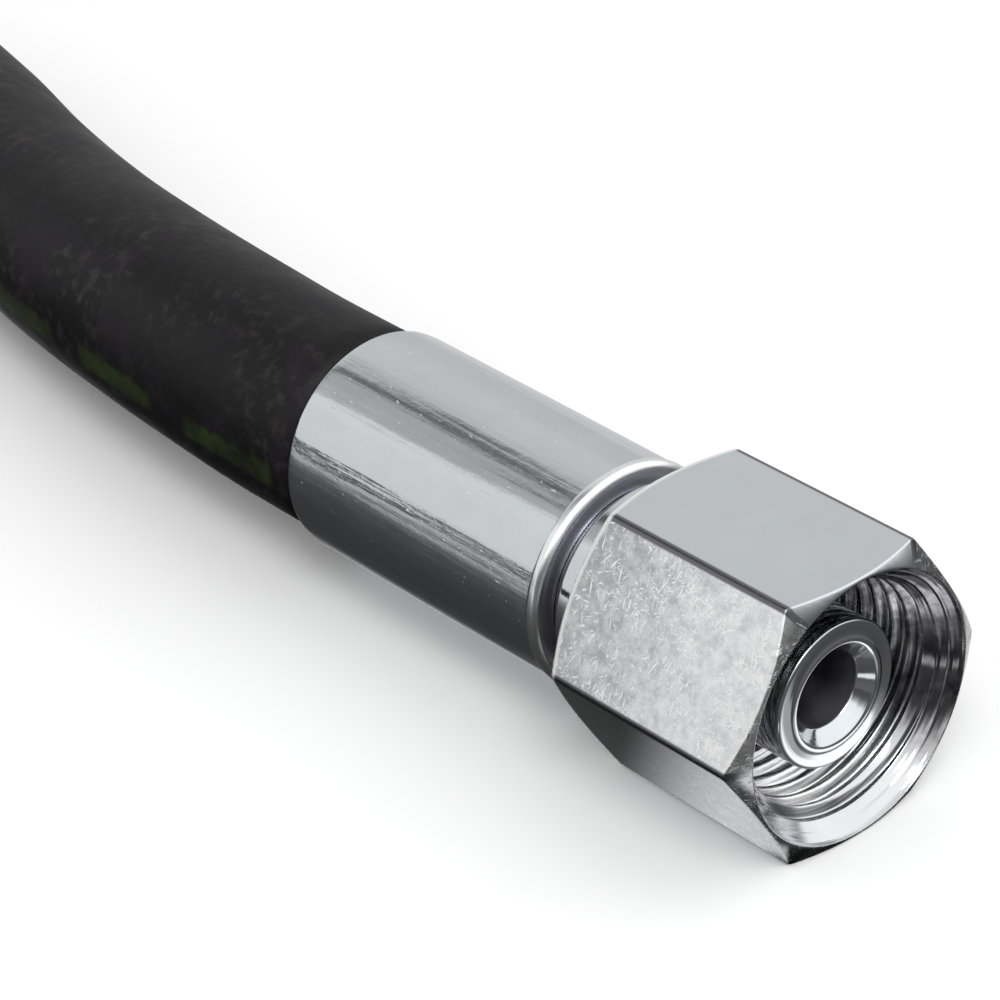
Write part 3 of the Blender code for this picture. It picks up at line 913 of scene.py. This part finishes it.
# %% Card across the fitting, 0 at 160 mm on the near side and 1 at 40 mm beyond
card_paint = bpy.data.materials.new("reflection_card")
card_paint.use_nodes = True
tree = card_paint.node_tree
tree.nodes.clear()
position = node(tree, "ShaderNodeNewGeometry").outputs["Position"]
spot = node(tree, "ShaderNodeSeparateXYZ", Vector=position)
across = node(tree, "ShaderNodeMapRange", i0=spot.outputs["Y"], i1=-0.16, i2=0.04).outputs[0]
# painted shadow: the dark stops, from about 28 to 9 mm on the near side
card_tone = node(tree, "ShaderNodeValToRGB", i0=across, stops=[
    (0.0, grey(0.90)), (0.25, grey(0.74)), (0.42, grey(0.40)), (0.56, grey(0.15)), (0.66, grey(0.08)),
    (0.70, grey(0.06)), (0.755, grey(0.045)), (0.772, grey(0.07)), (0.784, grey(0.6)),
    (0.80, grey(0.90)), (0.90, grey(0.75)), (1.0, grey(0.7))]).outputs[0]
print("card across:", len(tree.nodes), "nodes")

# %% [markdown]
# Three places round the nut have a tone of their own: a dark one beyond it, light paper again
# beside its front half, and its own shade under the mouth. Each is a mask from 0 to 1, made
# of two ramps that are multiplied.

# %% Card round the nut
beyond = node(tree, "ShaderNodeMapRange", i0=spot.outputs["Y"], i1=0.006, i2=0.010).outputs[0]
forward = node(tree, "ShaderNodeMapRange", i0=spot.outputs["X"], i1=0.002, i2=0.010).outputs[0]
beside = node(tree, "ShaderNodeMapRange", {"interpolation_type": "SMOOTHSTEP"},
              i0=spot.outputs["X"], i1=0.0065, i2=0.0195).outputs[0]
close = node(tree, "ShaderNodeMapRange", i0=spot.outputs["Y"], i1=-0.015, i2=-0.0105).outputs[0]
under = node(tree, "ShaderNodeMapRange", i0=spot.outputs["X"], i1=0.0225, i2=0.0245).outputs[0]
inner = node(tree, "ShaderNodeMapRange", i0=spot.outputs["Y"], i1=-0.0068, i2=-0.0063).outputs[0]
for along, aside, tone in ((beyond, forward, 0.11), (beside, close, 0.80), (under, inner, 0.015)):
    mask = node(tree, "ShaderNodeMath", MULTIPLY, i0=along, i1=aside).outputs[0]
    card_tone = node(tree, "ShaderNodeMix", RGBA, i0=mask, i6=card_tone, i7=grey(tone)).outputs[2]
print("card round the nut:", len(tree.nodes), "nodes")

# %% [markdown]
# The inside of the nut and the nose look at the card in front of the mouth. A small light
# patch there lights the nose, two weaker ones light its side and the bevel of the bore, and
# the dark surround keeps the thread deep.

# %% Card in front of the mouth
PATCH = (0.0302, 0.0074, 0)
WEAKER_PATCHES = (((0.0365, 0.0048, 0), 0.0065, 0.50), ((0.0400, -0.0120, 0), 0.0045, 1.2))
reach = node(tree, "ShaderNodeVectorMath", {"operation": "DISTANCE"}, i0=position,
             i1=PATCH).outputs["Value"]
reach = node(tree, "ShaderNodeMapRange", i0=reach, i1=0.0, i2=0.06).outputs[0]
front_tone = node(tree, "ShaderNodeValToRGB", i0=reach, stops=[
    (0.0, grey(1.6)), (0.068, grey(1.5)), (0.082, grey(0.55)), (0.10, grey(0.30)), (0.14, grey(0.11)),
    (0.30, grey(0.08)), (0.47, grey(0.12)), (1.0, grey(0.16))]).outputs[0]
for patch, radius, tone in WEAKER_PATCHES:
    near_patch = node(tree, "ShaderNodeVectorMath", {"operation": "DISTANCE"}, i0=position,
                      i1=patch).outputs["Value"]
    near_patch = node(tree, "ShaderNodeMapRange", i0=near_patch, i1=radius * 0.7, i2=radius,
                      i3=1.0, i4=0.0).outputs[0]
    front_tone = node(tree, "ShaderNodeMix", {"data_type": "RGBA", "blend_type": "LIGHTEN"},
                      i0=near_patch, i6=front_tone, i7=grey(tone)).outputs[2]
in_front = node(tree, "ShaderNodeMapRange", i0=spot.outputs["X"], i1=0.0270, i2=0.0276).outputs[0]
card_tone = node(tree, "ShaderNodeMix", RGBA, i0=in_front, i6=card_tone, i7=front_tone).outputs[2]
print("light patches in front of the mouth:", 1 + len(WEAKER_PATCHES))

# %% The card shows in reflections alone
HIDDEN_FROM = ("camera", "diffuse", "transmission", "volume_scatter", "shadow")
glow = node(tree, "ShaderNodeEmission", Color=card_tone, Strength=1.0).outputs[0]
tree.links.new(glow, node(tree, "ShaderNodeOutputMaterial").inputs["Surface"])
card = flat_sheet("reflection_card", 2, -0.0004, card_paint)
for ray in HIDDEN_FROM:
    setattr(card, "visible_" + ray, False)
print("the card is hidden from", ", ".join(HIDDEN_FROM))

# %% [markdown]
# The sky is one soft box. Toward the hose its brightness follows the angle from straight up,
# which draws the long light and dark bands on the ferrule. Out in front of the mouth it is
# bright over a dark band, and the countersink and the thread show both.

# %% Sky toward the hose, by the angle from straight up
sky = bpy.data.worlds.new("soft_studio")
bpy.context.scene.world = sky
sky.use_nodes = True
tree = sky.node_tree
way = node(tree, "ShaderNodeSeparateXYZ", Vector=node(tree, "ShaderNodeTexCoord").outputs["Generated"])
minus_y = node(tree, "ShaderNodeMath", MULTIPLY, i0=way.outputs["Y"], i1=-1.0).outputs[0]
lean = node(tree, "ShaderNodeMath", {"operation": "ARCTAN2"}, i0=minus_y,
            i1=way.outputs["Z"]).outputs[0]
lean = node(tree, "ShaderNodeMapRange", i0=lean, i1=-math.pi, i2=math.pi).outputs[0]
back_sky = node(tree, "ShaderNodeValToRGB", i0=lean, stops=[
    (0.14, grey(0.80)), (0.18, grey(0.70)), (0.215, grey(0.60)), (0.30, grey(0.68)), (0.37, grey(0.76)),
    (0.44, grey(0.74)), (0.475, grey(0.64)), (0.497, grey(0.13)), (0.512, grey(0.15)),
    (0.535, grey(0.52)), (0.575, grey(0.56)), (0.602, grey(0.96)), (0.64, grey(0.88)),
    (0.71, grey(0.87)), (0.745, grey(0.88)), (0.78, grey(0.85))]).outputs[0]
print("sky toward the hose:", len(tree.nodes), "nodes")

# %% Sky in front, where the dark band lies lower on the far side
height = node(tree, "ShaderNodeMapRange", i0=way.outputs["Y"], i1=0.60, i2=0.85, i3=0.0,
              i4=0.25).outputs[0]
height = node(tree, "ShaderNodeMath", {"operation": "ADD"}, i0=height, i1=way.outputs["Z"]).outputs[0]
front_sky = node(tree, "ShaderNodeValToRGB", i0=height, stops=[
    (0.0, grey(0.08)), (0.20, grey(0.12)), (0.32, grey(0.45)), (0.42, grey(1.25)), (0.75, grey(1.35)),
    (1.0, grey(1.0))]).outputs[0]
toward = node(tree, "ShaderNodeMapRange", i0=way.outputs["X"], i1=-0.30, i2=0.20).outputs[0]
light = node(tree, "ShaderNodeMix", RGBA, i0=toward, i6=back_sky, i7=front_sky).outputs[2]
tree.links.new(light, tree.nodes["Background"].inputs["Color"])
tree.nodes["Background"].inputs["Strength"].default_value = 1.0
print("whole sky:", len(tree.nodes), "nodes")

# %% [markdown]
# One broad lamp to the side gives the floor its gentle shadow. The Standard view keeps the
# pale floor near white, where a film-like view would turn it grey.

# %% Lamp and view
LAMP_AT, LAMP_AIM = Vector((0.36, -0.24, 0.58)), Vector((0.0, 0.0, 0.01))
key_box = bpy.data.objects.new("key_box", bpy.data.lights.new("key_box", "AREA"))
bpy.context.scene.collection.objects.link(key_box)
key_box.data.size = 0.30
key_box.data.energy = 1.6
key_box.location = LAMP_AT
key_box.rotation_euler = (LAMP_AIM - LAMP_AT).to_track_quat("-Z", "Y").to_euler()
bpy.context.scene.view_settings.view_transform = "Standard"
bpy.context.scene.view_settings.look = "None"
print("lamp", round((LAMP_AIM - LAMP_AT).length, 2), "m from the fitting")
